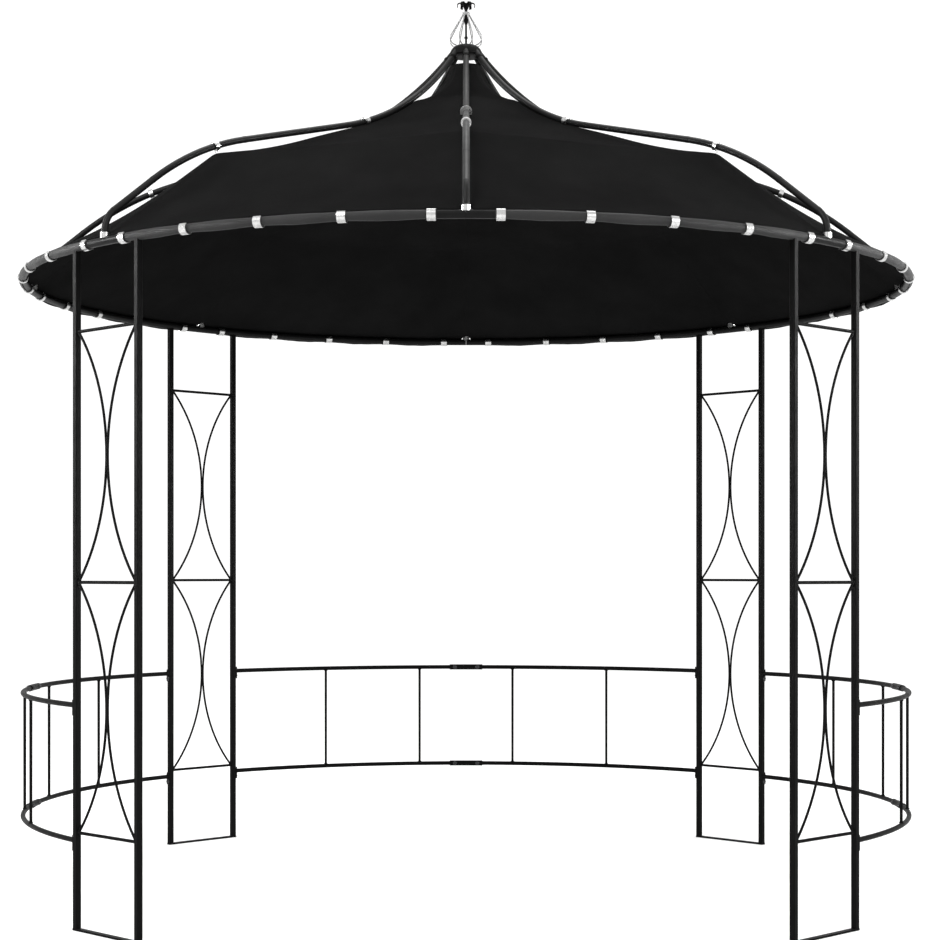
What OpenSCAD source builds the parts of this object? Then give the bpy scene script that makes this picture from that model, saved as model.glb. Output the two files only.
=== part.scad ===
// Round garden gazebo: four lattice columns carry an eave ring, eight bent ribs rise from the ring
// to a hub with a wire finial, and a fabric canopy of eight gores hangs under the ribs.
// Millimetres, Z up, origin on the ground under the finial. The open entrance faces -Y.

/* [Eave ring] */
// Radius of the ring, to the middle of its tube
ring_r = 1480; // [1400:5:1600]
// Height of the middle of the ring's tube above the ground
ring_z = 2017; // [1900:1:2200]
// Diameter of the ring's tube
ring_d = 25; // [22:1:32]
// Outer diameter of the saddles that hold the ribs' feet on the ring
saddle_d = 27; // [25:0.5:32]
// Wall left between the ring's tube and the foot of a rib
saddle_t = 2; // [1.5:0.5:4]
// Depth of the rib's foot in its saddle
socket_h = 10; // [8:1:16]
// Height of the saddles' lower edge above the ring's middle
saddle_low = 8; // [4:0.5:9]

/* [Columns] */
// Spacing of the two posts of a column, between their middles
post_pitch = 307; // [260:1:340]
// Width of the square posts
post_w = 19; // [16:1:24]
// Bevel along the corners of the posts
post_bevel = 2; // [1:0.5:4]
// Height of the lowest rung above the ground
rung_low_z = 289; // [260:1:320]
// Height of each of the two lattice panels, from rung to rung
panel_h = 739; // [680:1:760]
// Diameter of the rungs
rung_d = 10; // [8:1:14]
// Diameter of the bowed rods in the lattice panels
rod_d = 8; // [6:1:10]
// Thickness of the bar that joins the feet of a column
foot_t = 6; // [4:1:10]

/* [Balustrades] */
// Height of the lower rail's middle above the ground
rail_low_z = 265; // [220:1:300]
// Height of the upper rail's middle above the ground
rail_high_z = 665; // [600:1:720]
// Diameter of the rails
rail_d = 16; // [14:1:20]
// Diameter of the balusters
baluster_d = 10; // [8:1:12]
// Angle between a panel's middle and its inner balusters
baluster_a1 = 7.5; // [6:0.1:9]
// Angle between a panel's middle and its outer balusters
baluster_a2 = 22.9; // [20:0.1:26]
// Length of the sleeve that joins the two halves of a rail
rail_sleeve_l = 136; // [100:1:160]
// Wall of the rail sleeves
sleeve_t = 3; // [2:0.5:4]
// Thickness of the tabs that meet the posts
tab_t = 4; // [3:0.5:6]
// Height of the tabs
tab_h = 46; // [36:1:60]
// Depth of the tabs
tab_w = 18; // [16:1:22]

/* [Ribs and hub] */
// Diameter of the ribs
rib_d = 20; // [16:1:24]
// Height of the ribs' upper ends above the ring
rib_rise = 823; // [810:1:840]
// Distance of the ribs' upper ends from the middle
rib_end_r = 40; // [34:1:46]
// Slope of the ribs at the hub
crown_a = 53; // [51:0.5:55]
// Slope of the ribs' straight middle run
middle_a = 14.8; // [13:0.1:16]
// Slope of the ribs' straight lower run
eave_a = 38; // [36:0.5:40]
// Radius of the shoulder bend
shoulder_r = 958; // [920:1:990]
// Length of the straight lower run
eave_l = 177; // [160:1:190]
// Radius of the bend down to the ring
eave_r = 82; // [76:1:90]
// Length of the beads where the ribs' bends meet their straight runs
bead_l = 8; // [6:1:12]
// Height of the beads above the rib's surface
bead_t = 0.4; // [0.3:0.1:1]
// Radius of the hub
hub_r = 42; // [41:0.5:46]
// Height of the hub's straight side
hub_h = 36; // [32:1:50]
// Height of the hub's side above the ribs' upper ends
hub_over = 15; // [14:0.5:18]
// Height of the hub's domed cap
hub_cap_h = 8; // [6:0.5:12]

/* [Canopy] */
// Thickness of the canopy, modelled thicker than its cloth
cloth_t = 3; // [2:0.5:4]
// Distance of the canopy's top hem from the middle
top_hem_r = 56; // [52:1:62]
// Drop of the top hem below the ribs' middle
top_hem_drop = 31; // [28:1:36]
// Slope of the ribs where the canopy first lies against them
touch_a = 35; // [32:0.5:38]
// Length along the straight run over which the canopy still lies against the ribs
leave_l = 62; // [40:1:80]
// Distance from the middle of the point that draws the canopy into its hollow neck
crown_fold_r = 72; // [64:1:90]
// Drop of that point below the ribs' middle
crown_fold_drop = 118; // [90:1:130]
// Sag of the canopy between the ribs' crown bend and the lower hooks
middle_sag = 15; // [5:1:25]
// Distance of the upper hooks from the middle
hook_high_r = 464; // [420:1:500]
// Distance of the lower hooks from the middle
hook_low_r = 1077; // [1040:1:1110]
// Outer diameter of the upper hooks' collars
hook_d = 38; // [32:1:44]
// Width of the hook collars
hook_w = 15; // [10:1:20]
// Outer diameter of the lower hooks' collars
hook_low_d = 30; // [26:1:36]
// Depth of the lower hooks' tongues below the ribs' middle
hook_low_drop = 19; // [17:0.5:24]
// Thickness of the lower hooks' tongues
tongue_t = 9; // [6:0.5:12]
// Height of the upper collars' lower ends above the ribs' underside
hook_open = 2; // [1:0.5:4]
// Width of the ties at the top hem
tie_w = 8; // [6:1:12]
// Wall of the ties round the ribs
tie_t = 2; // [1.5:0.5:4]
// Room between the saddles and the notches in the canopy's lower edge
notch_gap = 3; // [2:0.5:8]
// Length of the lower hem beyond its outermost clips
hem_over = 4; // [2:0.5:10]
// Angle between neighbouring eave clips of a gore
clip_a = 9.45; // [9:0.05:9.8]
// Length of the eave clips along the ring
clip_l = 24; // [20:1:34]
// Wall of the eave clips
clip_t = 2.5; // [2:0.5:4]

/* [Finial] */
// Wire of the bud-shaped basket
wire_d = 4; // [3:0.5:5]
// Number of basket wires
wire_n = 8; // [6:2:12]
// Greatest radius of the basket, to the middle of its wires
basket_r = 58; // [54:1:62]
// Radius of the wires' round lower bend
basket_bend_r = 22; // [20:1:25]
// Lean of the wires' straight upper run
basket_lean = 30.7; // [28:0.1:33]
// Distance of the wires' upper ends from the middle
neck_r = 10; // [9.5:0.1:11]
// Height of the collar that holds the wires' upper ends
collar_h = 10; // [8:0.5:12]
// Outer radius of that collar
collar_r = 13; // [12.5:0.5:15]
// Diameter of the spindle through the basket
spindle_d = 7; // [5:0.5:8]
// Diameter of the knop on the spindle
knop_d = 12; // [10:0.5:16]
// Height of the knop's middle above the hub's cap
knop_h = 24; // [18:0.5:30]
// Height of the bud on the spindle
bud_h = 40; // [34:1:46]
// Greatest diameter of the bud
bud_d = 18; // [16:0.5:19]
// Diameter of the bud at its lower end
bud_low_d = 10; // [8:0.5:14]
// Diameter of the bud inside the collar
bud_high_d = 14; // [12:0.5:15]
// Height of the bud's greatest diameter above its lower end
bud_belly_h = 16; // [10:0.5:20]
// Radius of the crown's stem
crown_stem_r = 5; // [4:0.5:6]
// Height of the crown's stem
crown_stem_h = 8; // [6:0.5:12]
// Radius of the crown's cup at its rim
crown_rim_r = 13.5; // [12:0.5:15]
// Height of the crown's cup
crown_cup_h = 20; // [16:0.5:24]
// Diameter of the button on top of the crown
button_d = 12; // [10:0.5:16]
// Number of curled petals on the crown
petal_n = 6; // [4:1:8]
// Radius of a petal's curl, to the middle of its thickness
petal_r = 9; // [8:0.5:10]
// Distance of the curl's middle outside the cup's rim
petal_out = 7.5; // [7:0.1:8]
// Drop of the curl's middle below the cup's rim
petal_drop = 5; // [4:0.5:6]
// Width of the petals
petal_w = 9; // [7:0.5:10]
// Thickness of the petals
petal_t = 2.5; // [2:0.5:4]

/* [Hidden] */
$fn = 64;
fine = 256;
rib_n = 8;
step_a = 360 / rib_n;
half_a = step_a / 2;
tube_r = ring_d / 2;
arc_deg = 180 / PI / ring_r;
seam_gap = 0.6;
clear = 0.3;
short = 1;

// Columns: radial place of a column's flat plane, and the bow of its lattice rods
col_y = post_pitch / 2;
col_x = sqrt(ring_r * ring_r - col_y * col_y);
post_face = col_y + post_w / 2;
weld = 1;
bow_rise = col_y - post_w / 2 - rod_d / 2 + weld;
bow_half = panel_h / 2;
bow_r = (bow_half * bow_half + bow_rise * bow_rise) / (2 * bow_rise);
bow_a = asin(bow_half / bow_r);

// Ribs: the points where each bend meets a straight run, from the ring up to the hub
foot_z = ring_z + tube_r + saddle_t;
bend_t = 90 - eave_a;
leg_h = socket_h + bead_l / 2 + clear;
p0 = [ring_r, foot_z + leg_h];
p1 = p0 + eave_r * [cos(bend_t) - 1, sin(bend_t)];
p2 = p1 + eave_l * [-cos(eave_a), sin(eave_a)];
p3 = p2 + shoulder_r * [sin(middle_a) - sin(eave_a), cos(middle_a) - cos(eave_a)];
reach = p3[0] - rib_end_r;
climb = ring_z + rib_rise - p3[1];
turn = cos(crown_a - middle_a) - 1;
crown_r = (reach * sin(middle_a) - cos(middle_a) * climb) / turn;
middle_l = ((sin(crown_a) - sin(middle_a)) * climb - (cos(middle_a) - cos(crown_a)) * reach) / turn;
p4 = p3 + middle_l * [-cos(middle_a), sin(middle_a)];
crown_c = p4 + crown_r * [sin(middle_a), cos(middle_a)];
shoulder_c = p2 - shoulder_r * [sin(eave_a), cos(eave_a)];

// Hub and finial levels
hub_top = ring_z + rib_rise + hub_over;
hub_low = hub_top - hub_h;
cap_top = hub_top + hub_cap_h;
cap_r = (hub_r * hub_r + hub_cap_h * hub_cap_h) / (2 * hub_cap_h);
basket_x = basket_r - basket_bend_r;
basket_foot_z = cap_top - cap_r + sqrt(cap_r * cap_r - basket_x * basket_x) + clear;
basket_c = [basket_x, basket_foot_z + wire_d / 2 + basket_bend_r];
basket_p = basket_c + basket_bend_r * [cos(basket_lean), sin(basket_lean)];
basket_l = (basket_p[0] - neck_r) / sin(basket_lean);
basket_q = basket_p + basket_l * [-sin(basket_lean), cos(basket_lean)];
bud_top = basket_q[1] + collar_h / 2;
bud_low = bud_top - bud_h;
cup_z = bud_top + crown_stem_h;
rim_z = cup_z + crown_cup_h;

// Canopy: points of the seam under a rib, as distance from the middle and height
hem_gap_a = half_a - 2 * clip_a - (clip_l / 2 + hem_over) * arc_deg;
hem_t = cloth_t * cos(eave_a);
hem_r = tube_r + hem_t;
seam_top = [top_hem_r, crown_rib_z(top_hem_r) - top_hem_drop];
seam_fold = [crown_fold_r, crown_rib_z(crown_fold_r) - crown_fold_drop];
seam_touch = rib_under(touch_a);
seam_leave = rib_under(middle_a) + leave_l * [cos(middle_a), -sin(middle_a)];
low_hook_a = rib_slope(hook_low_r);
seam_hook = [hook_low_r, rib_z(hook_low_r) - hook_low_drop / cos(low_hook_a)];
hem_fall = seam_hook[1] - ring_z;
hem_run = ring_r - hook_low_r;
hem_dist = norm([hem_fall, hem_run]);
hem_a = atan2(hem_fall, hem_run) - asin(hem_r / hem_dist);
hem_touch = [ring_r + hem_r * sin(hem_a), ring_z + hem_r * cos(hem_a)];
hem_back = hem_r * sin(hem_a) - tube_r * sin(hem_a) + clear;
seam_hem = hem_touch + hem_back * [-1, tan(hem_a)];

// Names
columns = ["front_right", "back_right", "back_left", "front_left"];
sides = ["right", "back", "left"];
halves = ["a", "b"];

// Slope of the rib at distance x, in its crown bend and in its shoulder bend
function crown_slope(x) = asin(sin(crown_a) - (x - rib_end_r) / crown_r);
function shoulder_slope(x) = asin(sin(middle_a) + (x - p3[0]) / shoulder_r);

// Height of the rib's middle at distance x
function crown_rib_z(x) = crown_c[1] - crown_r * cos(crown_slope(x));
function shoulder_rib_z(x) = shoulder_c[1] + shoulder_r * cos(shoulder_slope(x));

// Slope and height of the rib's middle line at a distance from the middle, along all its runs and bends
function rib_slope(x) =
  x > p2[0] ? eave_a : x > p3[0] ? shoulder_slope(x) : x > p4[0] ? middle_a : crown_slope(x);
function rib_z(x) =
  x > p2[0] ? p2[1] - (x - p2[0]) * tan(eave_a) :
  x > p3[0] ? shoulder_rib_z(x) :
  x > p4[0] ? p3[1] + (p3[0] - x) * tan(middle_a) :
  crown_rib_z(x);

// Point on the underside of the crown bend where the rib has slope a
function rib_under(a) = crown_c - (crown_r + rib_d / 2) * [sin(a), cos(a)];

// Point of a hollow curve from p to q that m draws towards itself
function hollow(p, m, q, t) = (1 - t) * (1 - t) * p + 2 * t * (1 - t) * m + t * t * q;

// Point of a sagging span between p and q
function sagging(p, q, sag, t) = p + (q - p) * t - [0, 4 * sag * t * (1 - t)];

// Turns a piece to a station on the ring, counted from the front towards the right
module station(a) {
  rotate([0, 0, a - 90])
    children();
}

// Bent tube in the radial plane
module bend(c, r, d, a0, a1) {
  translate([c[0], 0, c[1]])
    rotate([90, 0, 0])
      rotate([0, 0, a0])
        rotate_extrude(angle = a1 - a0, $fn = fine)
          translate([r, 0])
            circle(d = d, $fn = 64);
}

// Straight tube in the radial plane
module run(p, q, d) {
  translate([p[0], 0, p[1]])
    rotate([0, atan2(q[0] - p[0], q[1] - p[1]), 0])
      translate([0, 0, short])
        cylinder(d = d, h = norm(q - p) - 2 * short);
}

// Bend of a rib, which stops short inside the beads at its ends
module rib_bend(c, r, a0, a1) {
  s = short / r * 180 / PI;
  bend(c, r, rib_d, a0 + s, a1 - s);
}

// Bead round the joint at p, where the rib has slope a
module bead(p, a) {
  translate([p[0], 0, p[1]])
    rotate([0, a - 90, 0])
      cylinder(d = rib_d + 2 * bead_t, h = bead_l, center = true);
}

// Length of tube that follows the ring's curve from angle a0 to a1
module hoop(z, d, a0, a1) {
  station(a0)
    translate([0, 0, z])
      rotate_extrude(angle = a1 - a0, $fn = fine)
        translate([ring_r, 0])
          circle(d = d, $fn = 64);
}

// Slice of the whole between angles -a and a about a station
module slice(a, low, high) {
  far = 2 * ring_r;
  translate([0, 0, low])
    linear_extrude(height = high - low)
      polygon([[0, 0], [far, -far * tan(a)], [far, far * tan(a)]]);
}

// Square post with bevelled corners, cut to sit under the ring
module post() {
  w = post_w / 2;
  b = w - post_bevel;
  linear_extrude(height = ring_z)
    polygon([[w, -b], [w, b], [b, w], [-b, w], [-w, b], [-w, -b], [-b, -w], [b, -w]]);
}

// Two bowed rods that meet in the middle of a lattice panel
module bowed_rods(z) {
  for (s = [0, 180])
    rotate([0, 0, s])
      translate([0, weld - bow_r - rod_d / 2, z])
        rotate([90, 0, 90])
          rotate([0, 0, -bow_a])
            rotate_extrude(angle = 2 * bow_a, $fn = fine)
              translate([bow_r, 0])
                circle(d = rod_d, $fn = 64);
}

module column(i) {
  color("#26272a")
    station(45 + 90 * i)
      difference() {
        translate([col_x, 0, 0]) {
          for (s = [-1, 1])
            translate([0, s * col_y, 0])
              post();
          for (k = [0 : 2])
            translate([0, -col_y, rung_low_z + k * panel_h])
              rotate([-90, 0, 0])
                cylinder(d = rung_d, h = post_pitch);
          for (k = [0 : 1])
            bowed_rods(rung_low_z + (k + 0.5) * panel_h);
          translate([-post_w / 2, -post_face, 0])
            cube([post_w, 2 * post_face, foot_t]);
        }
        hoop(ring_z, ring_d, 80, 100);
      }
}

// Tab at a rail's end, flat against the side of a post
module tab(z, s) {
  translate([sqrt(ring_r * ring_r - post_face * post_face) - tab_w / 2, s > 0 ? post_face : -post_face - tab_t,
             z - tab_h + rail_d])
    cube([tab_w, tab_t, tab_h]);
}

module balustrade(i, h) {
  mid = 90 + 90 * i;
  dir = h == 0 ? -1 : 1;
  tab_a = asin((post_face + tab_t / 2) / ring_r);
  end_a = mid + dir * (45 - tab_a);
  near_a = mid + dir * 0.5 * arc_deg;
  color("#2b2c2f") {
    for (z = [rail_low_z, rail_high_z]) {
      hoop(z, rail_d, min(end_a, near_a), max(end_a, near_a));
      station(mid + dir * 45)
        tab(z, -dir);
    }
    for (a = [baluster_a1, baluster_a2])
      station(mid + dir * a)
        translate([ring_r, 0, rail_low_z])
          cylinder(d = baluster_d, h = rail_high_z - rail_low_z);
  }
}

module rail_sleeves(i) {
  a = rail_sleeve_l / 2 * arc_deg;
  mid = 90 + 90 * i;
  color("#1d1e20")
    for (z = [rail_low_z, rail_high_z])
      difference() {
        hoop(z, rail_d + 2 * sleeve_t, mid - a, mid + a);
        hoop(z, rail_d, mid - 2 * a, mid + 2 * a);
      }
}

module ring_segment(i) {
  g = seam_gap / 2 * arc_deg;
  color("#3c3d40")
    hoop(ring_z, ring_d, step_a * i + g, step_a * (i + 1) - g);
}

module rib_feet() {
  color("#b9bbbd")
    for (i = [0 : rib_n - 1])
      station(step_a * i)
        difference() {
          translate([ring_r, 0, ring_z + saddle_low])
            cylinder(d = saddle_d, h = foot_z + socket_h - ring_z - saddle_low);
          hoop(ring_z, ring_d, 80, 100);
          translate([ring_r, 0, foot_z])
            cylinder(d = rib_d, h = 2 * socket_h);
        }
}

module rib(i) {
  color("#2e2f32")
    station(step_a * i)
      difference() {
        union() {
          translate([ring_r, 0, foot_z])
            cylinder(d = rib_d, h = leg_h - short);
          bead(p0, 90);
          rib_bend(p0 - [eave_r, 0], eave_r, 0, bend_t);
          bead(p1, eave_a);
          run(p1, p2, rib_d);
          bead(p2, eave_a);
          rib_bend(shoulder_c, shoulder_r, bend_t, 90 - middle_a);
          bead(p3, middle_a);
          run(p3, p4, rib_d);
          bead(p4, middle_a);
          rib_bend(crown_c, crown_r, 270 - crown_a, 270 - middle_a);
        }
        hub_body();
      }
}

// Room of the hub, which trims the ribs' upper ends
module hub_body() {
  translate([0, 0, hub_low])
    cylinder(r = hub_r, h = 2 * hub_h);
}

module hub() {
  color("#0e0f10") {
    translate([0, 0, hub_low])
      cylinder(r = hub_r, h = hub_h);
    intersection() {
      translate([0, 0, cap_top - cap_r])
        sphere(r = cap_r, $fn = fine);
      translate([0, 0, hub_top - 1])
        cylinder(r = hub_r - clear, h = 2 * hub_cap_h);
    }
  }
}

module finial_basket() {
  color("#141517") {
    for (i = [0 : wire_n - 1])
      station(360 / wire_n * (i + 0.5)) {
        bend(basket_c, basket_bend_r, wire_d, -90, basket_lean - 2);
        translate([basket_p[0], 0, basket_p[1]])
          sphere(d = wire_d + 2 * bead_t);
        run(basket_p, basket_q, wire_d);
      }
    translate([0, 0, bud_top - collar_h])
      difference() {
        cylinder(r = collar_r, h = collar_h);
        translate([0, 0, -1])
          cylinder(d = bud_high_d + 2 * clear, h = collar_h + 2);
      }
  }
}

module finial_spindle() {
  color("#141517") {
    translate([0, 0, cap_top])
      cylinder(d = spindle_d, h = bud_low + bud_belly_h - cap_top);
    translate([0, 0, cap_top + knop_h])
      sphere(d = knop_d);
    translate([0, 0, bud_low])
      cylinder(d1 = bud_low_d, d2 = bud_d, h = bud_belly_h);
    translate([0, 0, bud_low + bud_belly_h])
      cylinder(d1 = bud_d, d2 = bud_high_d, h = bud_h - collar_h - bud_belly_h);
    translate([0, 0, bud_top - collar_h])
      cylinder(d = bud_high_d, h = collar_h);
  }
}

// Petal that rises from the cup's rim and curls out and down
module petal() {
  translate([crown_rim_r + petal_out, petal_w / 2, rim_z - petal_drop])
    rotate([90, 0, 0])
      rotate([0, 0, -35])
        rotate_extrude(angle = 200)
          translate([petal_r - petal_t / 2, 0])
            square([petal_t, petal_w]);
}

module finial_crown() {
  color("#141517") {
    translate([0, 0, bud_top])
      cylinder(r = crown_stem_r, h = crown_stem_h);
    translate([0, 0, cup_z])
      cylinder(r1 = crown_stem_r, r2 = crown_rim_r, h = crown_cup_h);
    translate([0, 0, rim_z])
      sphere(d = button_d);
    for (i = [0 : petal_n - 1])
      station(360 / petal_n * (i + 0.5))
        petal();
  }
}

// Roof solid whose top is the canopy: flat gore chords above the lower hooks, blending to the ring
module gore_mass(drop) {
  base = ring_z - 4 * ring_d;
  flat = cos(half_a);
  crown = [for (k = [0 : 8]) hollow(seam_top, seam_fold, seam_touch, k / 8)];
  lie = [for (k = [1 : 4]) rib_under(touch_a + (middle_a - touch_a) * k / 4)];
  middle = [for (k = [1 : 8]) sagging(seam_leave, seam_hook, middle_sag, k / 8)];
  seam = concat(crown, lie, middle);
  cone_top = seam_hem[1] + (seam_hem[0] - top_hem_r / 2) * tan(hem_a);
  inner = seam_top[0] * flat - drop;
  outer = seam_hem + drop * [1, -tan(hem_a)];
  translate([0, 0, -drop])
    intersection() {
      rotate([90, 0, 0])
        translate([0, 0, -ring_r])
          linear_extrude(height = 2 * ring_r)
            polygon(concat(
              [[inner, base], [inner, seam_top[1]]],
              [for (p = seam) [p[0] * flat, p[1]]],
              [outer, [outer[0], base]]
            ));
      rotate_extrude($fn = fine)
        polygon([[top_hem_r / 2, base], [outer[0], base], outer, [top_hem_r / 2, cone_top]]);
    }
}

module canopy_gore(i) {
  notch = saddle_d / 2 + notch_gap;
  color("#1b1c1e")
    station(step_a * (i + 0.5))
      intersection() {
        difference() {
          gore_mass(0);
          gore_mass(cloth_t);
          for (s = [-1, 1])
            rotate([0, 0, s * half_a])
              translate([ring_r - notch, -notch, ring_z])
                cube([4 * notch, 2 * notch, 4 * ring_d]);
        }
        translate([seam_gap, 0, 0])
          slice(half_a, ring_z - 2 * ring_d, ring_z + 2 * rib_rise);
      }
}

// Band of cloth or metal wrapped round the ring's tube, from section angle s0 down to s1
module wrap(r0, r1, a0, a1, s0, s1) {
  far = 4 * r1;
  step = (360 - s0 + s1) / 4;
  station(a0)
    translate([0, 0, ring_z])
      rotate_extrude(angle = a1 - a0, $fn = fine)
        translate([ring_r, 0])
          difference() {
            circle(r = r1, $fn = 64);
            circle(r = r0, $fn = 64);
            polygon(concat([[0, 0]], [for (k = [0 : 4]) far * [cos(s0 + step * k), sin(s0 + step * k)]]));
          }
}

module canopy_hem() {
  color("#4a4b4e")
    for (i = [0 : rib_n - 1])
      wrap(tube_r, hem_r, step_a * i + hem_gap_a, step_a * (i + 1) - hem_gap_a, 90 - hem_a, -75);
}

module eave_clips() {
  a = clip_l / 2 * arc_deg;
  color("#d7d8da")
    for (i = [0 : rib_n - 1], k = [-2 : 2]) {
      mid = step_a * (i + 0.5) + clip_a * k;
      wrap(hem_r, hem_r + clip_t, mid - a, mid + a, 86 - hem_a, -215);
    }
}

// Collar round a rib, at distance x and height z where the rib has slope a
module collar(x, z, a, d, w) {
  translate([x, 0, z])
    rotate([0, 90 + a, 0])
      difference() {
        cylinder(d = d, h = w, center = true);
        cylinder(d = rib_d, h = 2 * w, center = true);
      }
}

// Collar with a tongue below the rib, which reaches a given drop under the rib's middle
module tongued_collar(x, z, a, d, w, drop, thick) {
  translate([x, 0, z])
    rotate([0, 90 + a, 0])
      difference() {
        union() {
          cylinder(d = d, h = w, center = true);
          translate([0, -thick / 2, -w / 2])
            cube([drop, thick, w]);
        }
        cylinder(d = rib_d, h = 2 * w, center = true);
      }
}

module crown_ties() {
  x = top_hem_r + tie_w;
  a = crown_slope(top_hem_r);
  color("#18191b")
    for (i = [0 : rib_n - 1])
      station(step_a * i)
        tongued_collar(x, crown_rib_z(x), a, rib_d + 2 * tie_t, tie_w, top_hem_drop * cos(a), 2 * tie_t);
}

module hooks_high() {
  z = rib_z(hook_high_r);
  a = rib_slope(hook_high_r);
  color("#d7d8da")
    for (i = [0 : rib_n - 1])
      station(step_a * i)
        difference() {
          collar(hook_high_r, z, a, hook_d, hook_w);
          translate([hook_high_r, 0, z])
            rotate([0, a, 0])
              translate([-hook_d, -hook_d, -2 * hook_d - rib_d / 2 + hook_open])
                cube(2 * hook_d);
        }
}

module hooks_low() {
  color("#d7d8da")
    for (i = [0 : rib_n - 1])
      station(step_a * i)
        tongued_collar(hook_low_r, rib_z(hook_low_r), low_hook_a, hook_low_d, hook_w, hook_low_drop, tongue_t);
}

for (i = [0 : 3])
  column(i);
for (i = [0 : 2], h = [0 : 1])
  balustrade(i, h);
for (i = [0 : 2])
  rail_sleeves(i);
for (i = [0 : rib_n - 1]) {
  ring_segment(i);
  rib(i);
  canopy_gore(i);
}
rib_feet();
hub();
finial_basket();
finial_spindle();
finial_crown();
crown_ties();
hooks_high();
hooks_low();
canopy_hem();
eave_clips();
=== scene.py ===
import math

import bpy
import numpy as np
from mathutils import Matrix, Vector, noise

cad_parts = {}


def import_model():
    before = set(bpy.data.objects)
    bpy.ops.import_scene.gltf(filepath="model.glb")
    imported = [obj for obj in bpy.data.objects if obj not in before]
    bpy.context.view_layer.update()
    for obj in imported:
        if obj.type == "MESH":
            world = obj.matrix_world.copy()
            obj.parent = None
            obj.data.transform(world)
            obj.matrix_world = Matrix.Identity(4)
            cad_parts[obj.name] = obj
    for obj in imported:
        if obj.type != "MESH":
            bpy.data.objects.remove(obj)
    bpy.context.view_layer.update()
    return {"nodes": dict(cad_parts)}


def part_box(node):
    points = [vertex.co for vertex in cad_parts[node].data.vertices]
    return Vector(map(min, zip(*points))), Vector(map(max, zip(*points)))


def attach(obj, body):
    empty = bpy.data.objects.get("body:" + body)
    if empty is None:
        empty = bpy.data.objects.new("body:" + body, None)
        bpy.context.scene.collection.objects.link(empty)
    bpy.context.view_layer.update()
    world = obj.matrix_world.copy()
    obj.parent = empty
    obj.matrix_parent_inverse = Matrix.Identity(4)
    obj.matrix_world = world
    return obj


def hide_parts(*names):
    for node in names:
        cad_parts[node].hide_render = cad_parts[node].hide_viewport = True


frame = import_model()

# Lengths are in metres and angles in radians, unless a name says otherwise

# Camera, read from the photograph's perspective
LENS_MM = 76.27
SENSOR_MM = 36.0
CAMERA_AT = (0.0, -6.815, 1.054)
SHIFT_X = 0.0042
SHIFT_Y = 0.1101
SEES_TO = 200.0

# Roof layout
RIB_N = 8
STEP = 2 * math.pi / RIB_N
HALF = STEP / 2

# Reading of the seam from the gore's mesh
BESIDE_RIB = 0.001  # corners this near the front rib's plane belong to the seam
BINS_PER_M = 500  # one corner of the seam is kept in each bin of distance
HOOK_FROM = 0.5  # the low hook is looked for beyond this share of the radius
CURVE_STEPS = 24  # points between two given ones on a rounded line

# Canopy cloth
CLOTH_T = 0.0008
CLOTH_DROP = 0.0012  # cloth hangs this far under the CAD gore's upper edge
ROWS = 110
COLUMNS = 26
NOTCH_W = 0.019
NOTCH_H = 0.0185
NOTCH_STEPS = (0.005, 0.010, 0.015, 0.021, 0.028)
NOTCH_CLEAR = 1.2  # share of the notch's last step that stays free of other columns
HEM_ROUNDING = 2.5  # power of the change from a straight chord to the round hem
BILLOW = 0.004
SMOOTHING = 700  # rounds of easing along the seam
NECK_R = 0.24
HOOK_REACH = 0.12  # easing fades over this distance before the low hook
PUCKER = 0.0022
PUCKER_REACH = 0.10
PUCKER_START = 0.012  # pucker grows over this length up from the hem
CLIP_STEP = math.radians(9.45)
RIPPLE = 0.0016
RIPPLE_WAVES = ((2.3, 1.0), (6.1, 0.4))  # scale and share of each noise
RIPPLE_FROM_RIB = 0.12  # ripple grows over this distance from a rib

# Seams, stitches and the vent's binding
SEAM_W = 0.013
SEAM_LIFT = 0.0006
SEAM_SECTION = [(-1.0, 0.0), (-0.86, 1.0), (0.0, 1.0), (0.86, 1.0), (1.0, 0.0)]
SEAM_END = 0.004  # seam tape stops this far short of the notch
STITCH = 0.0052
STITCH_GAP = 0.0017
STITCH_W = 0.0005
STITCH_AIM = 0.002  # a stitch's direction is taken over this length either way
STITCH_ROWS = (-0.72, 0.72)  # shares of the tape's half width
STITCH_END = 0.006  # stitches stop this far short of the notch
VENT_STITCH_AT = 0.75  # share of the binding's width
VENT_STITCH_LIFT = 0.0014
VENT_STITCH_POINTS = 400
BINDING_W = 0.018
BINDING_SIDES = 128
BINDING_GIRTH_R = 0.1  # radius that the weave's run round the binding is measured at

# Binding's fold: length down from the vent, and height over the cloth
BINDING_FOLD = [
    (BINDING_W, 0.0004),
    (BINDING_W - 0.001, 0.0013),
    (0.002, 0.0013),
    (-0.0008, 0.0008),
    (-0.0014, -0.0004),
    (-0.0008, -0.0016),
    (0.002, -0.0022),
    (BINDING_W - 0.001, -0.0022),
    (BINDING_W, -0.0012),
]

# Columns and balustrades
COLUMN_STATIONS = [math.radians(a) for a in (45, 135, 225, 315)]
RAIL_STATIONS = [math.radians(a) for a in (90, 180, 270)]
BALUSTER_ANGLES = [math.radians(a) for a in (-22.9, -7.5, 7.5, 22.9)]
POST_W = 0.019
RUNG_N = 3
RUNG_LOW = 0.289
PANEL_H = 0.739
RUNG_R = 0.005
RAIL_R = 0.008
BALUSTER_R = 0.005
TAB_T = 0.004
TAB_BOLT = 0.019
SLEEVE_BOLT = 0.047
BOLT_SEAT = 0.0012
BOLT_SIDES = 20
WELD = 0.0026
WELD_SIDES = 18
WELD_UNEVEN = 0.10
WELD_GRAIN = 190.0
WELD_SEAT = 0.96  # share of the rail's radius at which the weld sits

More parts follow.
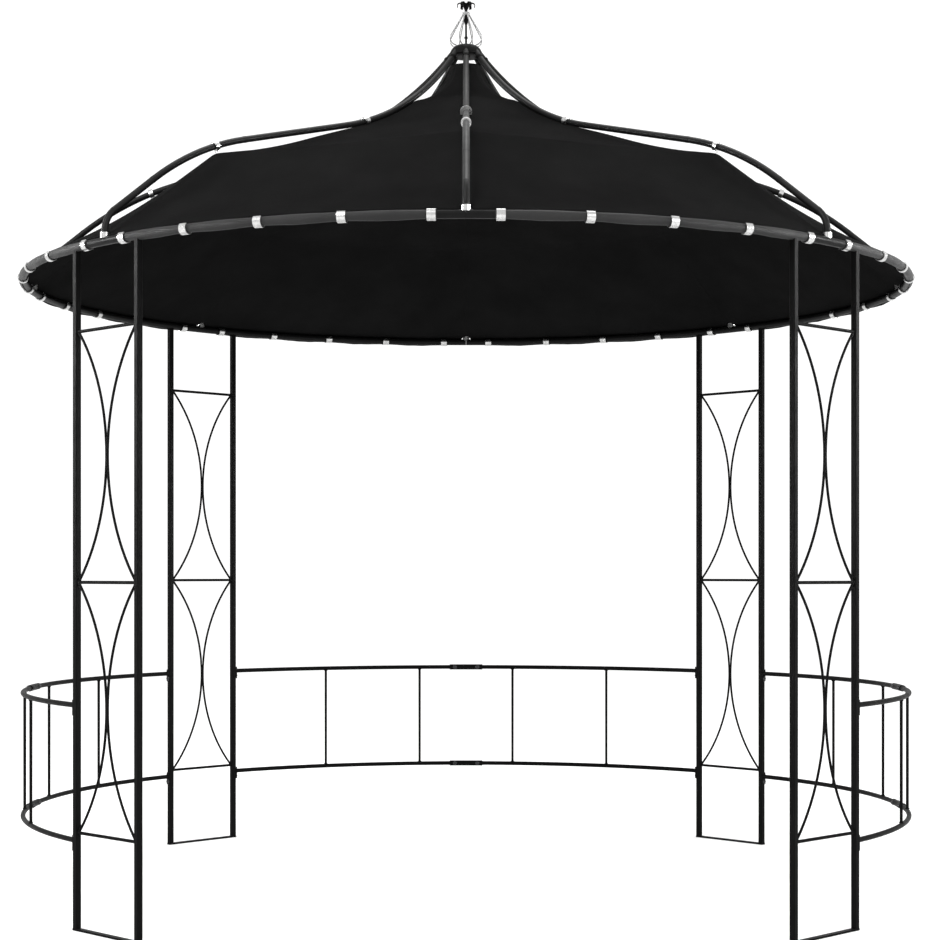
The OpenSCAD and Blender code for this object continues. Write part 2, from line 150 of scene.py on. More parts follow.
# Bolt with its washer: radius and height
BOLT = [
    (0.0085, 0.0),
    (0.0085, 0.0012),
    (0.0078, 0.0015),
    (0.0062, 0.0015),
    (0.0062, 0.0030),
    (0.0056, 0.0043),
    (0.0042, 0.0051),
    (0.0027, 0.0054),
    (0.0025, 0.0050),
    (0.0024, 0.0026),
    (0.0, 0.0026),
]

# Weld's outer face: distance from the bar and height, as shares of the bead
WELD_FACE = [(0.30, 0.95), (0.75, 0.55), (1.0, 0.1), (0.95, -0.3)]
WELD_INSIDE = 0.9  # share of the bar's radius, where the bead starts

# Hub's cover: radius and height from its top, for its outside and its underside
DOME = [
    (0.057, -0.037),
    (0.0558, -0.030),
    (0.049, -0.0165),
    (0.037, -0.006),
    (0.019, -0.0016),
    (0.0, 0.0),
]
DOME_UNDER = [(0.0, -0.042), (0.030, -0.042), (0.053, -0.0405), (0.0562, -0.039)]
DOME_SIDES = 72

# Hem round the ring
HEM_GAP = math.radians(3.0)
HEM_T = 0.0009
HEM_TOP = math.radians(88)  # turn round the ring where the cloth meets it, before its slope
HEM_LOW = math.radians(-78)
HEM_SECTIONS = 22
HEM_RUNS = 120
HEM_FIT = 0.0010
HEM_SLACK = 0.0011
HEM_CREASE = 0.0004
HEM_DROOP = 0.0022
DROOP_UNEVEN = 0.4
CREASE_SCALE = 40
CREASE_SHIFT = 7.0  # keeps the creases of the eight sleeves unlike

# Softened edges of the bright fittings
EDGE_ANGLE = math.radians(50)
EDGE_STEPS = 2

# Studio
FLOOR_REACH = 90.0
FLOOR_GLOW = 0.12
WORLD_LIGHT = 1.15
SIDE_SPREAD = math.radians(32)
WHITE = (1.0, 1.0, 1.0, 1.0)


def vertices(node):
    """Corners of a CAD node at rest, as rows."""
    mesh = frame["nodes"][node].data
    co = np.zeros(len(mesh.vertices) * 3)
    mesh.vertices.foreach_get("co", co)
    return co.reshape(-1, 3)


def polar(points):
    """Distance from the middle and angle from the front towards the right."""
    return np.hypot(points[:, 0], points[:, 1]), np.arctan2(points[:, 0], -points[:, 1])


def place(r, a, z):
    """Points from distance, angle from the front and height."""
    r, a, z = np.broadcast_arrays(r, a, z)
    return np.stack([r * np.sin(a), -r * np.cos(a), z], -1)


def new_piece(name, points, faces, material, slot, uv=None, smooth=True):
    """Mesh object made from corner rows and faces, riding on the frame."""
    mesh = bpy.data.meshes.new(name)
    mesh.from_pydata(np.asarray(points).reshape(-1, 3).tolist(), [], [list(f) for f in faces])
    mesh.update()
    if smooth:
        mesh.polygons.foreach_set("use_smooth", [True] * len(mesh.polygons))
    if uv is not None:
        layer = mesh.uv_layers.new(name="cloth")
        corner = np.zeros(len(mesh.loops), int)
        mesh.loops.foreach_get("vertex_index", corner)
        layer.data.foreach_set("uv", np.asarray(uv).reshape(-1, 2)[corner].ravel())
    mesh.materials.append(material)
    piece = bpy.data.objects.new(name, mesh)
    bpy.context.scene.collection.objects.link(piece)
    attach(piece, "root")
    return piece


def grid_faces(rows, columns, closed=False):
    """Quads of a grid of points, its columns joined round when closed."""
    faces = []
    last = columns if closed else columns - 1
    for j in range(rows - 1):
        for i in range(last):
            k = (i + 1) % columns
            faces.append((j * columns + i, j * columns + k, (j + 1) * columns + k, (j + 1) * columns + i))
    return faces


def thicken(piece, thickness, offset=-1.0):
    """Gives a sheet its two sides."""
    solid = piece.modifiers.new("two_sides", "SOLIDIFY")
    solid.thickness = thickness
    solid.offset = offset
    return piece


def merged(forms):
    """Corner rows and faces of many forms as one."""
    points, faces, count = [], [], 0
    for corners, sides in forms:
        points.append(corners)
        faces += [[count + k for k in side] for side in sides]
        count += len(corners)
    return np.concatenate(points), faces


# Materials

def node_material(name):
    """Empty node material with its shader."""
    material = bpy.data.materials.new(name)
    material.use_nodes = True
    return material, material.node_tree, material.node_tree.nodes["Principled BSDF"]


def add(tree, kind, **settings):
    """Node with its settings: attributes by name, inputs by their label."""
    made = tree.nodes.new(kind)
    for key, value in settings.items():
        if hasattr(made, key):
            setattr(made, key, value)
        else:
            made.inputs[key.replace("_", " ")].default_value = value
    return made


def noise_of(tree, coordinates, scale, detail, roughness):
    """Cloudy noise over the coordinates."""
    made = add(tree, "ShaderNodeTexNoise", Scale=scale, Detail=detail, Roughness=roughness)
    tree.links.new(coordinates, made.inputs["Vector"])
    return made


def ramp_of(tree, value, stops):
    """Colour ramp over a value: stops are position and grey or colour."""
    made = tree.nodes.new("ShaderNodeValToRGB")
    ramp = made.color_ramp
    while len(ramp.elements) < len(stops):
        ramp.elements.new(0.5)
    for element, (at, colour) in zip(ramp.elements, stops):
        element.position = at
        element.color = (*colour, 1.0) if hasattr(colour, "__len__") else (colour, colour, colour, 1.0)
    tree.links.new(value, made.inputs["Fac"])
    return made.outputs["Color"]


def bump_of(tree, height, strength, distance, under=None):
    """Bumps from a height, laid over another bump where one is given."""
    made = add(tree, "ShaderNodeBump", Strength=strength, Distance=distance)
    tree.links.new(height, made.inputs["Height"])
    if under is not None:
        tree.links.new(under, made.inputs["Normal"])
    return made.outputs["Normal"]


def powder_coat(name, dark, light, roughness, ior):
    """Black paint baked on steel: fine orange peel, uneven gloss, faint dust on top faces."""
    material, tree, shader = node_material(name)
    at = tree.nodes.new("ShaderNodeTexCoord").outputs["Object"]
    patches = noise_of(tree, at, scale=7.0, detail=4.0, roughness=0.6)
    colour = ramp_of(tree, patches.outputs["Fac"], [(0.3, dark), (0.7, light)])
    facing = tree.nodes.new("ShaderNodeSeparateXYZ")
    tree.links.new(tree.nodes.new("ShaderNodeNewGeometry").outputs["Normal"], facing.inputs["Vector"])
    specks = noise_of(tree, at, scale=160.0, detail=2.0, roughness=0.7)
    dust = add(tree, "ShaderNodeMath", operation="MULTIPLY", use_clamp=True)
    tree.links.new(facing.outputs["Z"], dust.inputs[0])
    most_dust = 0.14
    tree.links.new(ramp_of(tree, specks.outputs["Fac"], [(0.45, 0.0), (0.8, most_dust)]), dust.inputs[1])
    mixed = add(tree, "ShaderNodeMix", data_type="RGBA")
    tree.links.new(dust.outputs["Value"], mixed.inputs["Factor"])
    tree.links.new(colour, mixed.inputs["A"])
    dust_colour = (0.06, 0.058, 0.054, 1.0)
    mixed.inputs["B"].default_value = dust_colour
    tree.links.new(mixed.outputs["Result"], shader.inputs["Base Color"])
    gloss = noise_of(tree, at, scale=24.0, detail=3.0, roughness=0.6)
    low, high = roughness
    tree.links.new(
        ramp_of(tree, gloss.outputs["Fac"], [(0.3, low), (0.75, high)]), shader.inputs["Roughness"]
    )
    peel = noise_of(tree, at, scale=420.0, detail=2.0, roughness=0.5)
    bumps = bump_of(tree, peel.outputs["Fac"], strength=0.25, distance=0.0004)
    tree.links.new(bumps, shader.inputs["Normal"])
    shader.inputs["IOR"].default_value = ior
    return material


def bright_metal(name, colour, roughness):
    """Zinc-plated fitting: mottled plating with fine drawing lines."""
    material, tree, shader = node_material(name)
    at = tree.nodes.new("ShaderNodeTexCoord").outputs["Object"]
    mottle = noise_of(tree, at, scale=90.0, detail=4.0, roughness=0.65)
    dullness = 0.72
    dull = tuple(dullness * c for c in colour)
    tree.links.new(
        ramp_of(tree, mottle.outputs["Fac"], [(0.3, dull), (0.62, colour)]), shader.inputs["Base Color"]
    )
    low, high = roughness
    tree.links.new(
        ramp_of(tree, mottle.outputs["Fac"], [(0.25, high), (0.7, low)]), shader.inputs["Roughness"]
    )
    stretch = add(tree, "ShaderNodeMapping")
    stretch.inputs["Scale"].default_value = (1.0, 1.0, 14.0)
    tree.links.new(at, stretch.inputs["Vector"])
    lines = noise_of(tree, stretch.outputs["Vector"], scale=130.0, detail=2.0, roughness=0.5)
    bumps = bump_of(tree, lines.outputs["Fac"], strength=0.12, distance=0.0003)
    tree.links.new(bumps, shader.inputs["Normal"])
    shader.inputs["Metallic"].default_value = 1.0
    return material


def woven(name, dark, light, pitch, roughness, ior):
    """Plain-weave polyester: crossing threads, uneven dye and small slubs."""
    material, tree, shader = node_material(name)
    source = tree.nodes.new("ShaderNodeTexCoord")
    at = source.outputs["Object"]
    turns = math.pi / pitch / 10
    waves = []
    for direction in ("X", "Y"):
        wave = add(tree, "ShaderNodeTexWave", wave_type="BANDS", bands_direction=direction, Scale=turns)
        tree.links.new(source.outputs["UV"], wave.inputs["Vector"])
        waves.append(wave)
    threads = add(tree, "ShaderNodeMath", operation="MAXIMUM")
    for socket, wave in zip(threads.inputs, waves):
        tree.links.new(wave.outputs["Fac"], socket)
    fleck = noise_of(tree, at, scale=5.0, detail=5.0, roughness=0.62)
    colour = ramp_of(tree, fleck.outputs["Fac"], [(0.3, dark), (0.72, light)])
    tone = add(tree, "ShaderNodeMix", data_type="RGBA", blend_type="MULTIPLY")
    tone.inputs["Factor"].default_value = 0.3
    tree.links.new(colour, tone.inputs["A"])
    tree.links.new(threads.outputs["Value"], tone.inputs["B"])
    tree.links.new(tone.outputs["Result"], shader.inputs["Base Color"])
    tree.links.new(
        ramp_of(tree, fleck.outputs["Fac"], [(0.3, roughness + 0.08), (0.7, roughness)]),
        shader.inputs["Roughness"],
    )
    slub = noise_of(tree, at, scale=60.0, detail=3.0, roughness=0.6)
    slubs = bump_of(tree, slub.outputs["Fac"], strength=0.2, distance=0.0010)
    bumps = bump_of(tree, threads.outputs["Value"], strength=0.5, distance=0.0004, under=slubs)
    tree.links.new(bumps, shader.inputs["Normal"])
    shader.inputs["IOR"].default_value = ior
    return material


POST_PAINT = powder_coat("post_paint", dark=0.0028, light=0.0045, roughness=(0.40, 0.54), ior=1.09)
RING_PAINT = powder_coat("ring_paint", dark=0.0035, light=0.0055, roughness=(0.36, 0.48), ior=1.15)
# Ribs use the same black powder coat as the posts, but with a lighter base colour: painted light that
# stands in for the light the ribs catch
RIB_PAINT_PAINTED_LIGHTER = powder_coat("rib_paint_painted_lighter", dark=0.0065, light=0.0095, roughness=(0.36, 0.48), ior=1.17)
HUB_PAINT = powder_coat("hub_paint", dark=0.0025, light=0.0040, roughness=(0.40, 0.54), ior=1.10)
WIRE_PAINT = powder_coat("wire_paint", dark=0.16, light=0.22, roughness=(0.38, 0.52), ior=1.40)
PLATING = bright_metal("plating", colour=(0.52, 0.52, 0.515), roughness=(0.20, 0.40))
BOLT_STEEL = bright_metal("bolt_steel", colour=(0.05, 0.05, 0.052), roughness=(0.34, 0.50))
CANOPY_CLOTH = woven("canopy_cloth", dark=0.0050, light=0.0072, pitch=0.0016, roughness=0.90, ior=1.03)
SEAM_CLOTH = woven("seam_cloth", dark=0.0062, light=0.0090, pitch=0.0010, roughness=0.86, ior=1.05)
HEM_CLOTH = woven("hem_cloth", dark=0.0095, light=0.0150, pitch=0.0014, roughness=0.50, ior=1.27)
THREAD = woven("thread", dark=0.020, light=0.030, pitch=0.0004, roughness=0.70, ior=1.15)


def finish_nodes(start, material):
    """Paints every CAD node whose name starts so."""
    for name, node in frame["nodes"].items():
        if name.startswith(start):
            node.data.materials.clear()
            node.data.materials.append(material)


# Paint and slot for each start of a name: a later row replaces an earlier one
for start, material, slot in (
    ("column_", POST_PAINT, "frame"),
    ("balustrade_", POST_PAINT, "frame"),
    ("rail_sleeves_", HUB_PAINT, "frame"),
    ("ring_segment_", RING_PAINT, "frame"),
    ("rib_", RIB_PAINT_PAINTED_LIGHTER, "frame"),
    ("hub", HUB_PAINT, "frame"),
    ("finial_", HUB_PAINT, "frame"),
    ("finial_basket", WIRE_PAINT, "frame"),
    ("crown_ties", HUB_PAINT, "frame"),
    ("rib_feet", PLATING, "fittings"),
    ("hooks_", PLATING, "fittings"),
    ("eave_clips", PLATING, "fittings"),
):
    finish_nodes(start, material)


# Fittings with softened edges

def soften(start, width):
    """Rounds the sharp edges of the CAD nodes whose name starts so."""
    for name, node in frame["nodes"].items():
        if name.startswith(start):
            edge = node.modifiers.new("edge", "BEVEL")
            edge.width = width
            edge.segments = EDGE_STEPS
            edge.limit_method = "ANGLE"
            edge.angle_limit = EDGE_ANGLE


soften("eave_clips", width=0.0007)
soften("hooks_", width=0.0009)
soften("rib_feet", width=0.0008)


# Sizes read from the frame

ring_low, ring_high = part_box("ring_segment_1")
RING_Z = (ring_low.z + ring_high.z) / 2
TUBE_R = (ring_high.z - ring_low.z) / 2
RING_R = polar(vertices("ring_segment_1"))[0].max() - TUBE_R
across_column = place(1.0, COLUMN_STATIONS[0] + math.pi / 2, 0.0)
POST_FACE = (vertices("column_front_right") @ across_column).max()


def seam_profile():
    """Upper edge of the first gore beside the front rib, as distance and height.

    Gives the rows from the vent to the low hook, and the foot at the hem.
    """
    corners = vertices("canopy_gore_1")
    distance = polar(corners)[0]
    beside = np.abs(corners[:, 0]) < BESIDE_RIB
    edge = {}
    for r, z in zip(distance[beside], corners[beside, 2]):
        key = round(r * BINS_PER_M)
        if key not in edge or z > edge[key][1]:
            edge[key] = (r, z)
    rows = np.array([edge[k] for k in sorted(edge)])
    slope = np.diff(rows[:, 1]) / np.diff(rows[:, 0])
    bend = np.where(rows[1:-1, 0] > HOOK_FROM * rows[-1, 0], np.diff(slope), 0)
    hook = int(np.argmin(bend)) + 1
    fall = (rows[-1, 1] - rows[hook, 1]) / (rows[-1, 0] - rows[hook, 0])
    outer = distance.max()
    foot = (outer, rows[hook, 1] + fall * (outer - rows[hook, 0]))
    return rows[:hook + 1], np.array(foot)


def rounded(points):
    """Dense points along a rounded line through the given ones, a Catmull-Rom curve."""
    ends = [2 * points[0] - points[1], *points, 2 * points[-1] - points[-2]]
    dense = []
    for p, q, r, s in zip(ends, ends[1:], ends[2:], ends[3:]):
        for t in np.linspace(0, 1, CURVE_STEPS, endpoint=False):
            square = (2 * p - 5 * q + 4 * r - s) * t**2
            cube = (3 * q - p - 3 * r + s) * t**3
            dense.append(0.5 * (2 * q + (r - p) * t + square + cube))
    return np.array(dense)


def seam_line(rows, foot, count):
    """Even points along the seam, eased between neck and low hook, with its length."""
    upper = rounded(rows)
    from_neck = np.clip((upper[1:-1, 0] - NECK_R) / NECK_R, 0, 1)
    from_hook = np.clip((rows[-1, 0] - upper[1:-1, 0]) / HOOK_REACH, 0, 1)
    ease = (from_neck * from_hook)[:, None]
    for _ in range(SMOOTHING):
        upper[1:-1] += ease * (upper[:-2] - 2 * upper[1:-1] + upper[2:]) / 4
    dense = np.array([*upper, rows[-1], foot])
    along = np.concatenate([[0], np.cumsum(np.linalg.norm(np.diff(dense, axis=0), axis=1))])
    even = np.linspace(0, along[-1], count)
    return np.stack([np.interp(even, along, dense[:, k]) for k in (0, 1)], -1), along[-1]


seam_rows, hem_foot = seam_profile()
LOW_HOOK_R = seam_rows[-1, 0]
SEAM, SEAM_L = seam_line(seam_rows, hem_foot, ROWS)


def cloth_point(a, s):
    """Point of the canopy at angle a from the front and length s down from the vent, in metres."""
    a, s = np.broadcast_arrays(a, s)
    along = np.linspace(0, SEAM_L, ROWS)
    r = np.interp(s, along, SEAM[:, 0])
    z = np.interp(s, along, SEAM[:, 1])
    off = (a + HALF) % STEP - HALF
    from_rib = np.abs(off) / HALF
    turn = HALF - np.abs(off)
    chord = r * math.cos(HALF) / np.cos(turn)
    rounding = np.clip((r - LOW_HOOK_R) / (hem_foot[0] - LOW_HOOK_R), 0, 1) ** HEM_ROUNDING
    distance = chord + (r - chord) * rounding
    span = np.sin(np.pi * np.clip(s / SEAM_L, 0, 1))
    middle = np.sin(np.pi / 2 * from_rib) ** 2
    below = BILLOW * span * middle
    up_from_hem = SEAM_L - s
    clip = np.cos(2 * np.pi * (np.abs(turn) / CLIP_STEP))
    fades = np.exp(-up_from_hem / PUCKER_REACH) * (1 - np.exp(-up_from_hem / PUCKER_START))
    below = below + PUCKER * fades * (1 - clip) / 2
    return distance, a, z - CLOTH_DROP - below


def ripple(point):
    """Slight unevenness of cloth under tension."""
    return sum(share * noise.noise(Vector(point) * scale) for scale, share in RIPPLE_WAVES)


# Canopy: one sheet round all eight gores

def canopy_angles():
    """Angles of the sheet's columns, closer together beside the ribs' feet."""
    beside = [sign * step / RING_R for step in NOTCH_STEPS for sign in (1, -1)]
    clear = NOTCH_CLEAR * NOTCH_STEPS[-1] / RING_R
    inner = np.linspace(0, STEP, COLUMNS + 1)[1:-1]
    inner = inner[(inner > clear) & (inner < STEP - clear)]
    gore = sorted([0.0, *beside, *inner])
    return np.array([i * STEP + a for i in range(RIB_N) for a in gore])


def canopy():
    """Stretched sheet from the vent to the hem, notched over each rib's foot."""
    angles = np.sort(canopy_angles())
    off = np.abs((angles + HALF) % STEP - HALF) * RING_R
    notch = NOTCH_H * np.sqrt(np.clip(1 - (off / NOTCH_W) ** 2, 0, 1))
    share = np.linspace(0, 1, ROWS)[:, None]
    s = share * (SEAM_L - notch[None, :])
    a = np.broadcast_to(angles[None, :], s.shape)
    r, _, z = cloth_point(a, s)
    points = place(r, a, z).reshape(-1, 3)
    free = np.sin(np.pi * share) * np.clip(off / RIPPLE_FROM_RIB, 0, 1)[None, :]
    lift = np.array([ripple(p) for p in points]) * free.ravel() * RIPPLE
    points[:, 2] += lift
    uv = np.stack([a * RING_R, s], -1)
    faces = [f[::-1] for f in grid_faces(ROWS, len(angles), closed=True)]
    piece = new_piece("canopy", points, faces, CANOPY_CLOTH, "canopy", uv)
    thicken(piece, CLOTH_T)
    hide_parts(*[f"canopy_gore_{i + 1}" for i in range(RIB_N)])
    return piece


def seam_tapes():
    """Sewn seam along each rib, as a flat tape with rounded edges."""
    across = np.array([x for x, _ in SEAM_SECTION]) * SEAM_W
    lift = np.array([height for _, height in SEAM_SECTION]) * SEAM_LIFT
    s = np.linspace(BINDING_W, SEAM_L - NOTCH_H - SEAM_END, ROWS)
    faces = [f[::-1] for f in grid_faces(ROWS, len(across))]
    flat = np.stack(np.broadcast_arrays(across[None, :], s[:, None]), -1).reshape(-1, 2)
    tapes = []
    for i in range(RIB_N):
        r0 = cloth_point(i * STEP, s)[0]
        a = i * STEP + across[None, :] / r0[:, None]
        r, a, z = cloth_point(a, np.broadcast_to(s[:, None], a.shape))
        tapes.append((place(r, a, z + lift[None, :]).reshape(-1, 3), faces))
    uv = np.tile(flat, (RIB_N, 1))
    return new_piece("canopy_seams", *merged(tapes), SEAM_CLOTH, "canopy", uv)


def stitches_at(points, directions, ups, length):
    """Corner rows and faces of a row of short raised stitches."""
    side = np.cross(directions, ups)
    half = directions * length / 2
    corners = np.stack(
        [
            points - half,
            points + side * STITCH_W,
            points + ups * STITCH_W,
            points - side * STITCH_W,
            points - ups * STITCH_W,
            points + half,
        ],
        1,
    )
    shape = [(0, 1, 2), (0, 2, 3), (0, 3, 4), (0, 4, 1), (5, 2, 1), (5, 3, 2), (5, 4, 3), (5, 1, 4)]
    faces = [[6 * n + k for k in f] for n in range(len(points)) for f in shape]
    return corners.reshape(-1, 3), faces


def line_stitches(a, s, lift):
    """Stitches that follow a line on the cloth, given by its angles and lengths."""
    line = place(*cloth_point(a, s))
    step = np.diff(line, axis=0)
    length = np.linalg.norm(step, axis=1)
    count = int(length.sum() / (STITCH + STITCH_GAP))
    along = np.concatenate([[0], np.cumsum(length)])
    at = (np.arange(count) + 0.5) * along[-1] / count
    points = np.stack([np.interp(at, along, line[:, k]) for k in range(3)], -1)
    ahead = np.stack([np.interp(at + STITCH_AIM, along, line[:, k]) for k in range(3)], -1)
    behind = np.stack([np.interp(at - STITCH_AIM, along, line[:, k]) for k in range(3)], -1)
    directions = ahead - behind
    directions /= np.linalg.norm(directions, axis=1)[:, None]
    sides = np.cross(directions, [0, 0, 1])
    sides /= np.linalg.norm(sides, axis=1)[:, None]
    ups = np.cross(sides, directions)
    return stitches_at(points + ups * lift, directions, ups, STITCH)


def stitching():
    """Two rows beside each seam, and one round the vent's binding."""
    lines = []
    s = np.linspace(BINDING_W, SEAM_L - NOTCH_H - STITCH_END, ROWS)
    for i in range(RIB_N):
        for side in STITCH_ROWS:
            r0 = cloth_point(i * STEP, s)[0]
            lines.append((i * STEP + side * SEAM_W / r0, s, SEAM_LIFT))
    round_vent = np.linspace(0, 2 * math.pi, VENT_STITCH_POINTS)
    down = np.full(VENT_STITCH_POINTS, VENT_STITCH_AT * BINDING_W)
    lines.append((round_vent, down, VENT_STITCH_LIFT))
    stitches = merged([line_stitches(*line) for line in lines])
    return new_piece("canopy_stitching", *stitches, THREAD, "canopy", smooth=False)


def vent_binding():
    """Folded tape over the canopy's upper edge."""
    a = np.linspace(0, 2 * math.pi, BINDING_SIDES + 1)[:-1]
    rows, uv = [], []
    for s, lift in BINDING_FOLD:
        r, _, z = cloth_point(a, np.full(len(a), max(s, 0.0)))
        rows.append(place(r + min(s, 0.0), a, z + lift))
        uv.append(np.stack(np.broadcast_arrays(a * BINDING_GIRTH_R, s), -1))
    faces = grid_faces(len(BINDING_FOLD), len(a), closed=True)
    return new_piece("vent_binding", np.array(rows), faces, SEAM_CLOTH, "canopy", np.array(uv))


# Hem sleeve round the ring, between the bare stretches at the ribs' feet

def hem_sleeve():
    """Cloth turned round the ring, drawn in under each clip and slack between them."""
    cloth_slope = math.atan2(seam_rows[-1, 1] - hem_foot[1], hem_foot[0] - LOW_HOOK_R)
    turn = np.linspace(HEM_TOP - cloth_slope, HEM_LOW, HEM_SECTIONS)
    faces = grid_faces(HEM_SECTIONS, HEM_RUNS)
    sleeves, uv = [], []
    for i in range(RIB_N):
        a = np.linspace(i * STEP + HEM_GAP, (i + 1) * STEP - HEM_GAP, HEM_RUNS)
        from_middle = np.abs(a - (i + 0.5) * STEP)
        slack = (1 - np.cos(2 * np.pi * from_middle / CLIP_STEP)) / 2
        crease = np.array([noise.noise(Vector((x * CREASE_SCALE, i * CREASE_SHIFT, 0.0))) for x in a])
        out = TUBE_R + HEM_FIT + HEM_SLACK * slack + HEM_CREASE * slack * crease
        droop = HEM_DROOP * slack * (1 + DROOP_UNEVEN * crease)
        r = RING_R + out[None, :] * np.cos(turn)[:, None]
        low = np.clip(-np.sin(turn), 0, 1)[:, None]
        z = RING_Z + out[None, :] * np.sin(turn)[:, None] - droop[None, :] * low
        sleeves.append((place(r, a[None, :], z).reshape(-1, 3), faces))
        flat = np.broadcast_arrays(a[None, :] * RING_R, turn[:, None] * TUBE_R)
        uv.append(np.stack(flat, -1).reshape(-1, 2))
    piece = new_piece("canopy_hem_sleeve", *merged(sleeves), HEM_CLOTH, "hem", np.concatenate(uv))
    thicken(piece, HEM_T, 1.0)
    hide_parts("canopy_hem")
    return piece


cloth = canopy()
trim = [seam_tapes(), stitching(), vent_binding(), hem_sleeve()]


# Bolts, weld beads and the hub's cover

def lathe(profile, centre, axis, sides):
    """Corner rows and faces of a turned form: profile is radius and height along the axis."""
    axis = Vector(axis).normalized()
    u = axis.orthogonal().normalized()
    v = axis.cross(u)
    angles = np.linspace(0, 2 * math.pi, sides, endpoint=False)
    ring = np.cos(angles)[:, None] * np.array(u) + np.sin(angles)[:, None] * np.array(v)
    rows = [(r, h) for r, h in profile if r > 0]
    points = [np.array(centre) + r * ring + h * np.array(axis) for r, h in rows]
    faces = grid_faces(len(rows), sides, closed=True)
    top_row, count = (len(rows) - 1) * sides, len(rows) * sides
    if profile[-1][0] == 0:
        points.append(np.array([centre + profile[-1][1] * np.array(axis)]))
        faces += [(top_row + i, top_row + (i + 1) % sides, count) for i in range(sides)]
        count += 1
    if profile[0][0] == 0:
        points.append(np.array([centre + profile[0][1] * np.array(axis)]))
        faces += [((i + 1) % sides, i, count) for i in range(sides)]
    return np.concatenate(points), faces


def upright(station, tangent, z, along):
    """Point on a column's face at a distance across from its middle and a height.

    Also gives the direction across the column, times the sign in along.
    """
    radial = place(1.0, station, 0.0)
    side = place(1.0, station + math.pi / 2, 0.0)
    at = math.sqrt(RING_R**2 - POST_FACE**2) * radial + tangent * side
    return at + np.array([0.0, 0.0, z]), side * along


def rail_levels():
    """Heights of the two rails and the radius of their sleeves."""
    heights = vertices("rail_sleeves_back")[:, 2]
    middle = (heights.min() + heights.max()) / 2
    low, high = heights[heights < middle], heights[heights > middle]
    return ((low.min() + low.max()) / 2, (high.min() + high.max()) / 2), (low.max() - low.min()) / 2


def rail_bolts():
    """Domed bolts through the rail sleeves, inside and outside, and through the rails' end tabs."""
    forms = []
    levels, sleeve_r = rail_levels()
    for z in levels:
        for middle in RAIL_STATIONS:
            for sign in (-1, 1):
                at = middle + sign * SLEEVE_BOLT / RING_R
                outward = place(1.0, at, 0.0)
                inner = place(RING_R - sleeve_r + BOLT_SEAT, at, z)
                outer = place(RING_R + sleeve_r - BOLT_SEAT, at, z)
                forms.append(lathe(BOLT, inner, -outward, BOLT_SIDES))
                forms.append(lathe(BOLT, outer, outward, BOLT_SIDES))
                column = middle + sign * math.pi / 4
                tab, away = upright(column, -sign * (POST_FACE + TAB_T), z - TAB_BOLT, -sign)
                forms.append(lathe(BOLT, tab, away, BOLT_SIDES))
    return new_piece("rail_bolts", *merged(forms), BOLT_STEEL, "fittings")


def weld(centre, axis, radius, bead):
    """Uneven bead of weld round a bar, where it meets the piece that it stands on."""
    face = [(radius + out * bead, up * bead) for out, up in WELD_FACE]
    points, faces = lathe([(radius * WELD_INSIDE, bead), *face], centre, axis, WELD_SIDES)
    uneven = [1 + WELD_UNEVEN * noise.noise(Vector(p) * WELD_GRAIN) for p in points]
    return np.array(centre) + (points - np.array(centre)) * np.array(uneven)[:, None], faces


def weld_beads():
    """Welds at the rungs' ends and at the balusters' ends."""
    forms = []
    inner = POST_FACE - POST_W
    for station in COLUMN_STATIONS:
        for k in range(RUNG_N):
            for sign in (-1, 1):
                at, side = upright(station, sign * inner, RUNG_LOW + k * PANEL_H, -sign)
                forms.append(weld(at, side, RUNG_R, WELD))
    for z, up in zip(rail_levels()[0], (1, -1)):
        for middle in RAIL_STATIONS:
            for a in BALUSTER_ANGLES:
                at = place(RING_R, middle + a, z + up * RAIL_R * WELD_SEAT)
                forms.append(weld(at, (0.0, 0.0, up), BALUSTER_R, WELD))
    return new_piece("weld_beads", *merged(forms), POST_PAINT, "frame")


def hub_dome():
    """Rounded cover over the ribs' upper ends, in the place of the plain hub."""
    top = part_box("hub")[1].z
    cover = [*rounded(np.array(DOME)), np.array(DOME[-1])]
    points, faces = lathe([*DOME_UNDER, *cover], (0.0, 0.0, top), (0.0, 0.0, 1.0), DOME_SIDES)
    piece = new_piece("hub_dome", points, faces, HUB_PAINT, "frame")
    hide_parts("hub")
    return piece


rail_bolts()
weld_beads()
hub_dome()


# Floor, light and camera

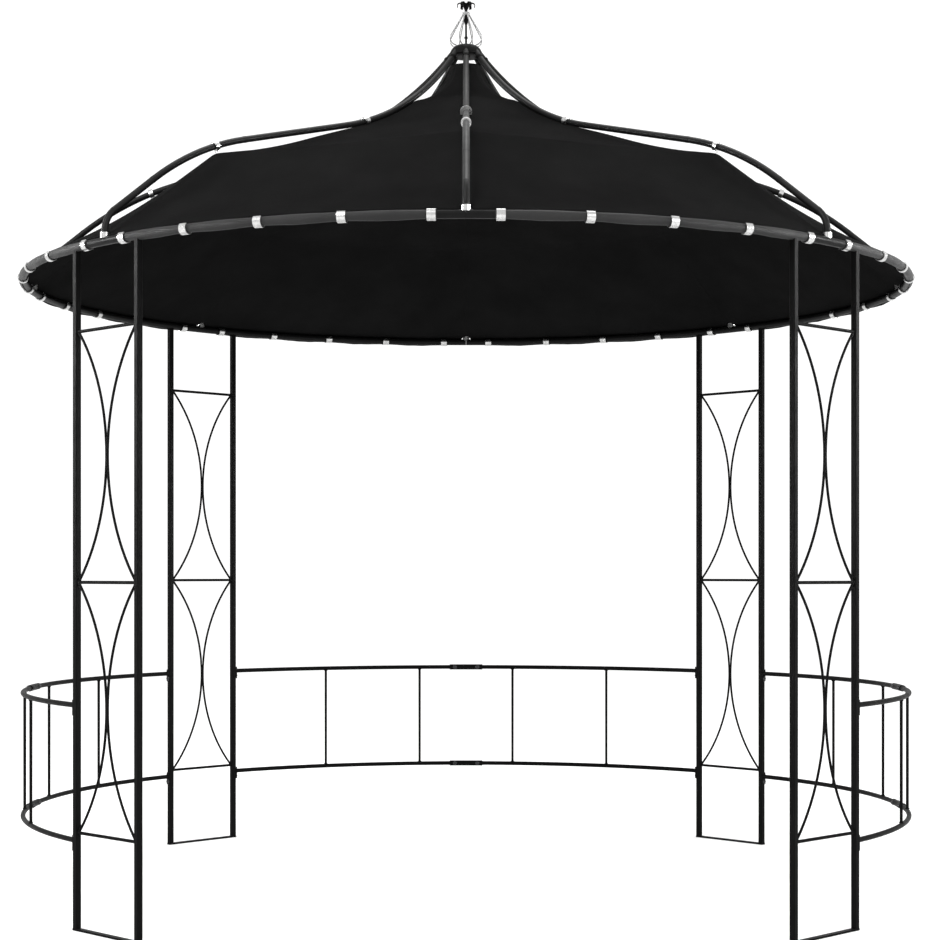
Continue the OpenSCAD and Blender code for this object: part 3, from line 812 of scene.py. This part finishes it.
def floor():
    """White studio floor, a little cloudy, which also glows faintly."""
    mesh = bpy.data.meshes.new("floor")
    corners = [(FLOOR_REACH * x, FLOOR_REACH * y, 0.0) for x, y in ((-1, -1), (1, -1), (1, 1), (-1, 1))]
    mesh.from_pydata(corners, [], [(0, 1, 2, 3)])
    material, tree, shader = node_material("floor_paint")
    at = tree.nodes.new("ShaderNodeTexCoord").outputs["Object"]
    cloudy = noise_of(tree, at, scale=0.6, detail=3.0, roughness=0.5)
    tree.links.new(
        ramp_of(tree, cloudy.outputs["Fac"], [(0.2, 0.89), (0.8, 0.91)]), shader.inputs["Base Color"]
    )
    shader.inputs["Roughness"].default_value = 0.9
    shader.inputs["Emission Color"].default_value = WHITE
    shader.inputs["Emission Strength"].default_value = FLOOR_GLOW
    mesh.materials.append(material)
    made = bpy.data.objects.new("floor", mesh)
    bpy.context.scene.collection.objects.link(made)


def area_light(name, place_at, towards, size, power, spread=math.pi):
    """Round soft light that looks towards a point."""
    data = bpy.data.lights.new(name, "AREA")
    data.shape = "DISK"
    data.size = size
    data.energy = power
    data.spread = spread
    made = bpy.data.objects.new(name, data)
    made.location = place_at
    made.rotation_euler = (Vector(towards) - Vector(place_at)).to_track_quat("-Z", "Y").to_euler()
    bpy.context.scene.collection.objects.link(made)


def world(strength):
    """Even white light from all round."""
    made = bpy.data.worlds.new("studio")
    bpy.context.scene.world = made
    made.use_nodes = True
    back = made.node_tree.nodes["Background"]
    back.inputs["Color"].default_value = WHITE
    back.inputs["Strength"].default_value = strength


def camera():
    """Level camera in front, with the lens shifted as in the photograph."""
    data = bpy.data.cameras.new("camera")
    data.sensor_width = SENSOR_MM
    data.lens = LENS_MM
    data.shift_x = SHIFT_X
    data.shift_y = SHIFT_Y
    data.clip_end = SEES_TO
    made = bpy.data.objects.new("camera", data)
    made.location = CAMERA_AT
    made.rotation_euler = (math.pi / 2, 0.0, 0.0)
    bpy.context.scene.collection.objects.link(made)
    bpy.context.scene.camera = made


floor()
world(WORLD_LIGHT)
area_light("key", (-3.5, -6.0, 6.5), towards=(0.0, 0.0, 1.8), size=3.0, power=420.0)
area_light("fill", (4.5, -5.0, 3.5), towards=(0.0, 0.0, 1.5), size=3.0, power=140.0)
area_light("top", (0.5, 1.0, 7.5), towards=(0.0, 0.0, 2.0), size=4.0, power=220.0)
for side_name, side in (("left", -1), ("right", 1)):
    eave = (1.4 * side, -0.3, 2.15)
    area_light(side_name, (6.5 * side, -0.6, 2.9), towards=eave, size=1.6, power=30.0, spread=SIDE_SPREAD)
camera()
bpy.context.scene.view_settings.view_transform = "Standard"
